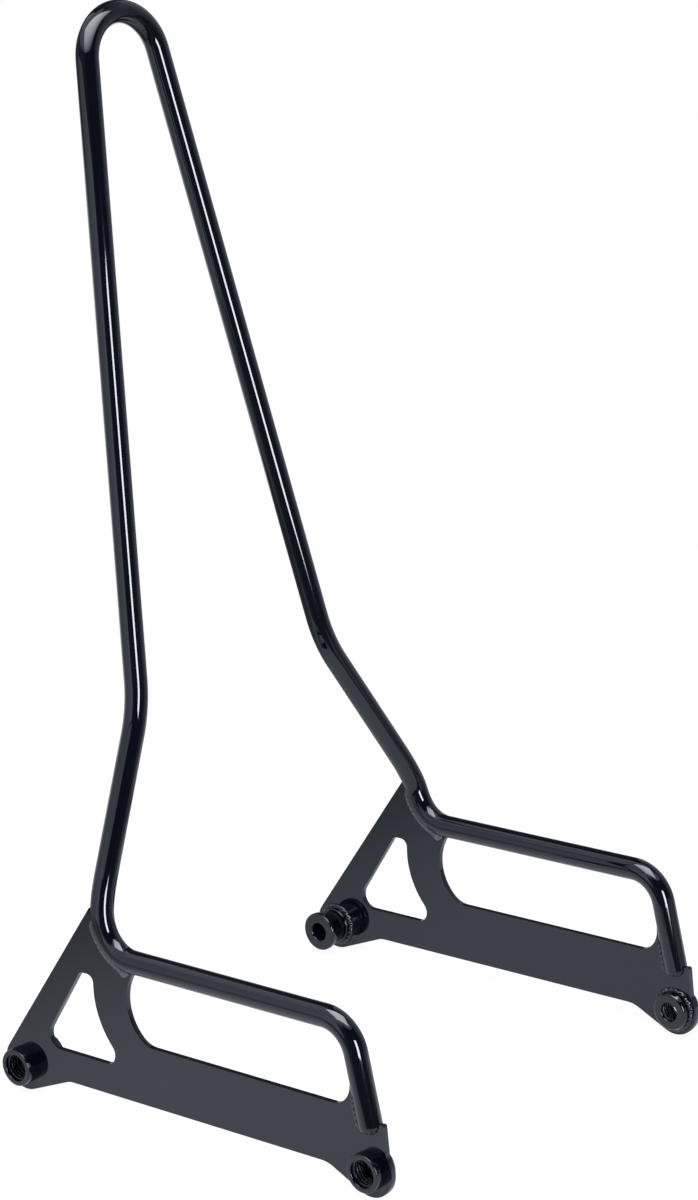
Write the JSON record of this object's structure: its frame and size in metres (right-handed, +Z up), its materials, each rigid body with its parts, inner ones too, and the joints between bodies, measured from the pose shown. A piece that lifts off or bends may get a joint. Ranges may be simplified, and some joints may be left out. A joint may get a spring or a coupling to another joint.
{
  "type": "sissy bar",
  "caption": "Tall bent round-bar sissy bar with low side rails, welded to flat side plates whose lugs carry bolt bungs and spacers.",
  "frame": {"origin": "on the plane that the four lugs stand on, midway between the lugs and between the two sides", "axes": "+X forward along the bike, +Y to the bike's left, +Z up"},
  "size_m": [0.2784, 0.2784, 0.5787],
  "materials": {
    "bar_coat": "gloss",
    "plate_coat": "gloss",
    "weld_coat": "gloss",
    "bung_coat": "gloss"
  },
  "bodies": {
    "root": {"hoop_bar": "bar_coat", "right_side_plate": "plate_coat", "right_rear_bung": "bung_coat", "right_rear_spacer": "bung_coat", "right_front_bung": "bung_coat", "right_front_spacer": "bung_coat", "right_outer_bend_weld": "weld_coat", "right_outer_run_weld": "weld_coat", "right_outer_end_weld": "weld_coat", "right_inner_bend_weld": "weld_coat", "right_inner_run_weld": "weld_coat", "right_inner_end_weld": "weld_coat", "left_side_plate": "plate_coat", "left_rear_bung": "bung_coat", "left_rear_spacer": "bung_coat", "left_front_bung": "bung_coat", "left_front_spacer": "bung_coat", "left_outer_bend_weld": "weld_coat", "left_outer_run_weld": "weld_coat", "left_outer_end_weld": "weld_coat", "left_inner_bend_weld": "weld_coat", "left_inner_run_weld": "weld_coat", "left_inner_end_weld": "weld_coat"}
  },
  "joints": []
}
